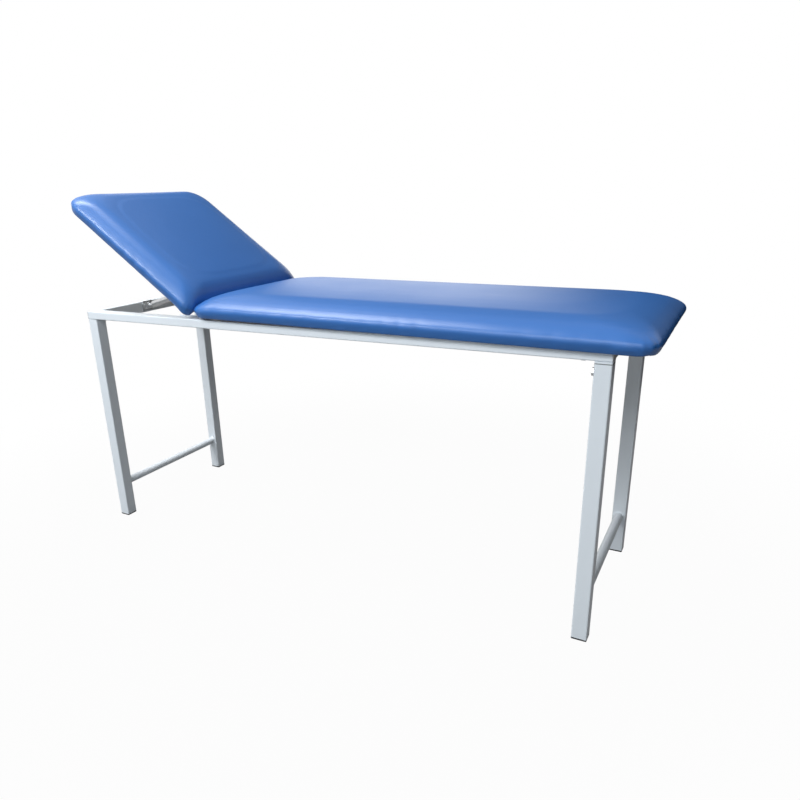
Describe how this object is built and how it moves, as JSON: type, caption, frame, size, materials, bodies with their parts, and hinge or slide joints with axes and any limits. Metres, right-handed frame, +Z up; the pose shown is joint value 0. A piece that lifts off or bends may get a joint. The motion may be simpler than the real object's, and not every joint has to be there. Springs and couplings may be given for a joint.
{
  "type": "examination bed",
  "caption": "Examination bed: white tubular steel frame on square legs, blue vinyl seat pad and a hinged backrest pad that a telescopic strut holds at a set tilt.",
  "frame": {"origin": "on the floor, under the middle of the bed's bounding box with the backrest raised as stored", "axes": "+X towards the foot end, +Z up, -Y towards the near side of the picture"},
  "size_m": [1.734, 0.572, 1.0942],
  "materials": {
    "white_powder_coat": "satin powder coat",
    "zinc_plated_steel": "zinc plated",
    "black_plastic": "matt",
    "pale_plastic": "matt",
    "plywood": "raw",
    "blue_vinyl": "satin coated vinyl"
  },
  "bodies": {
    "frame": {"far_foot_leg": "white_powder_coat", "far_foot_leg_cap": "black_plastic", "far_foot_rail_cap": "pale_plastic", "far_foot_seat_bolt": "zinc_plated_steel", "far_head_leg": "white_powder_coat", "far_head_leg_cap": "black_plastic", "far_head_rail_cap": "pale_plastic", "far_head_seat_bolt": "zinc_plated_steel", "far_hinge_bolt": "zinc_plated_steel", "far_hinge_nut": "zinc_plated_steel", "far_hinge_plate": "white_powder_coat", "far_leg_bolt": "zinc_plated_steel", "far_leg_nut": "zinc_plated_steel", "far_leg_spigot": "white_powder_coat", "far_seat_spacer": "black_plastic", "far_side_rail": "white_powder_coat", "foot_cross_rail": "white_powder_coat", "foot_stretcher": "white_powder_coat", "head_cross_rail": "white_powder_coat", "head_stretcher": "white_powder_coat", "mid_cross_rail": "white_powder_coat", "near_foot_leg": "white_powder_coat", "near_foot_leg_cap": "black_plastic", "near_foot_rail_cap": "pale_plastic", "near_foot_seat_bolt": "zinc_plated_steel", "near_head_leg": "white_powder_coat", "near_head_leg_cap": "black_plastic", "near_head_rail_cap": "pale_plastic", "near_head_seat_bolt": "zinc_plated_steel", "near_hinge_bolt": "zinc_plated_steel", "near_hinge_nut": "zinc_plated_steel", "near_hinge_plate": "white_powder_coat", "near_leg_bolt": "zinc_plated_steel", "near_leg_nut": "zinc_plated_steel", "near_leg_spigot": "white_powder_coat", "near_seat_spacer": "black_plastic", "near_side_rail": "white_powder_coat", "seat_board": "plywood", "seat_cross_rail": "white_powder_coat", "seat_cushion": "blue_vinyl", "strut_foot_bracket": "zinc_plated_steel", "strut_foot_pin": "zinc_plated_steel"},
    "backrest": {"backrest_board": "plywood", "backrest_cushion": "blue_vinyl", "far_arm_screw_1": "zinc_plated_steel", "far_arm_screw_2": "zinc_plated_steel", "far_hinge_arm": "white_powder_coat", "near_arm_screw_1": "zinc_plated_steel", "near_arm_screw_2": "zinc_plated_steel", "near_hinge_arm": "white_powder_coat", "strut_bracket_screw_1": "zinc_plated_steel", "strut_bracket_screw_2": "zinc_plated_steel", "strut_head_bracket": "zinc_plated_steel", "strut_head_pin": "zinc_plated_steel"},
    "strut_tube": {"strut_tube": "zinc_plated_steel", "strut_foot_eye": "zinc_plated_steel"},
    "strut_rod": {"strut_rod": "zinc_plated_steel"}
  },
  "joints": [
    {"name": "backrest_tilt", "type": "hinge", "parent": "frame", "child": "backrest", "pos_m": [-0.414, 0, 0.74], "axis": [0, 1, 0], "range_deg": [-35, 5]},
    {"name": "strut_swing", "type": "hinge", "parent": "frame", "child": "strut_tube", "pos_m": [-0.825, -0.03, 0.72], "axis": [0, 1, 0], "range_deg": [-2.5, 15.5]},
    {"name": "rod_swing", "type": "hinge", "parent": "backrest", "child": "strut_rod", "pos_m": [-0.53565, -0.03, 0.80686], "axis": [0, 1, 0], "range_deg": [-7.5, 50.5]}
  ],
  "couplings": [
    {"joint": "strut_swing", "follows": "backrest_tilt", "ratio": -0.43},
    {"joint": "rod_swing", "follows": "backrest_tilt", "ratio": -1.43}
  ]
}
